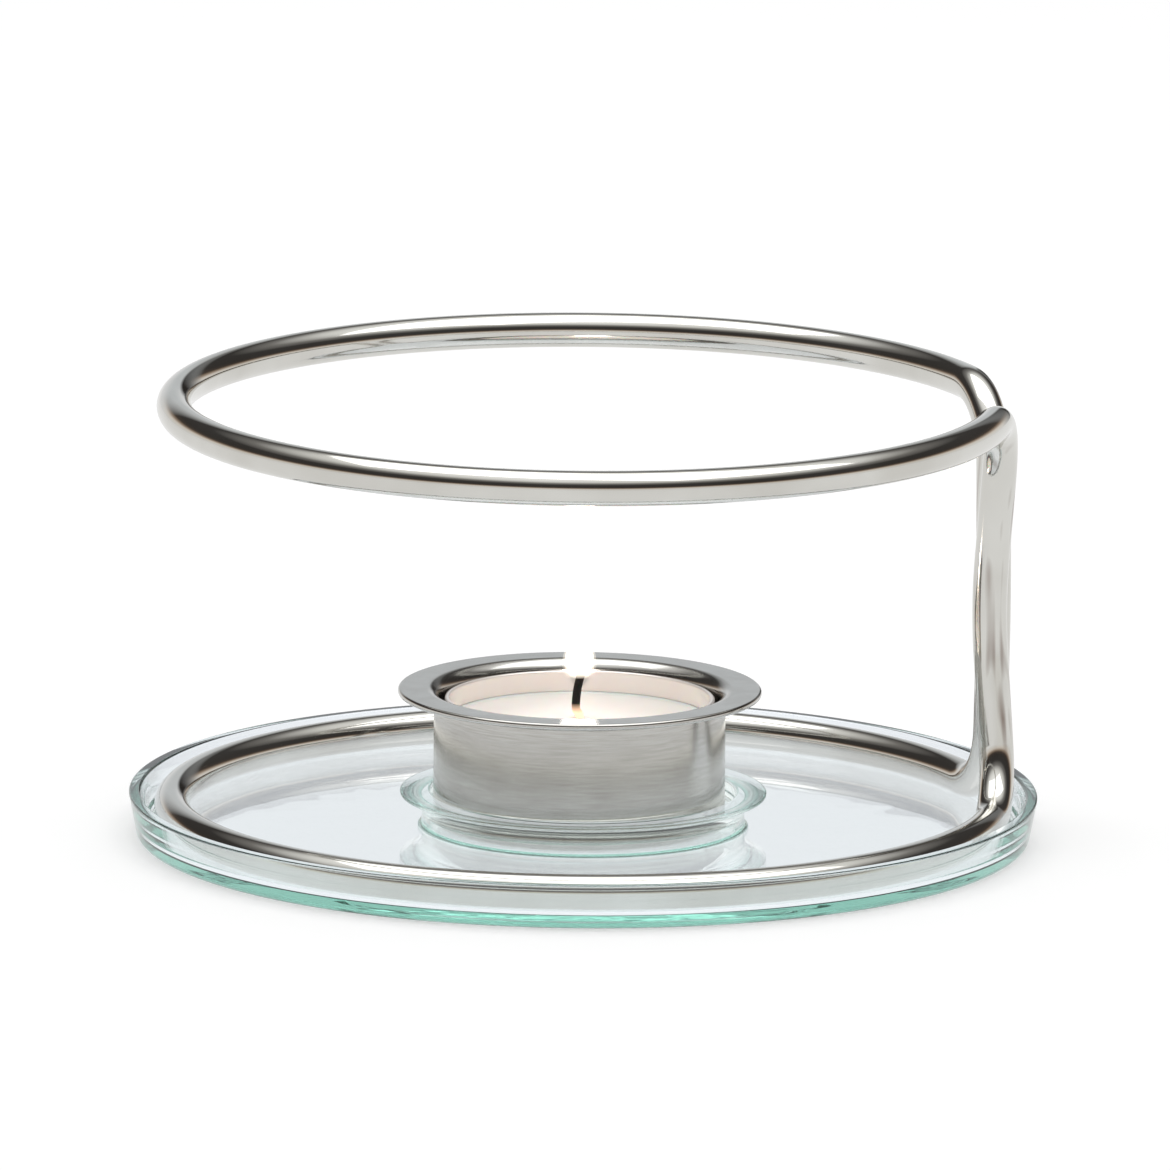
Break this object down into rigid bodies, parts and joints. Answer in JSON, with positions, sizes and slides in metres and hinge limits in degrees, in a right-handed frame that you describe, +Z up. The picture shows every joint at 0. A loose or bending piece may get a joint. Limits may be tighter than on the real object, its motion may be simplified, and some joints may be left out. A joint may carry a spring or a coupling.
{
  "type": "teapot warmer",
  "caption": "Low glass dish with a bent steel rod ring above it for a pot, and a flanged steel cup in its middle that holds a tealight.",
  "frame": {"origin": "middle of the dish's underside, on the table", "axes": "+Z up, from the dish to the pot ring; +X from the middle towards the pair of legs; seen from the front, from -Y, the legs are on the right"},
  "size_m": [0.13, 0.13, 0.0649],
  "materials": {
    "dish_glass": "clear pressed glass, faintly green at the edges",
    "polished_rod": "polished stainless steel",
    "brushed_cup": "satin stainless steel",
    "case_sheet": "bright thin sheet",
    "cotton_wick": "burnt cotton",
    "candle_wax": "melted wax"
  },
  "bodies": {
    "root": {"glass_dish": "dish_glass", "rod_stand": "polished_rod", "candle_cup": "brushed_cup", "tealight_case": "case_sheet", "wick_tab": "case_sheet", "wick": "cotton_wick", "wax": "candle_wax"}
  },
  "joints": []
}
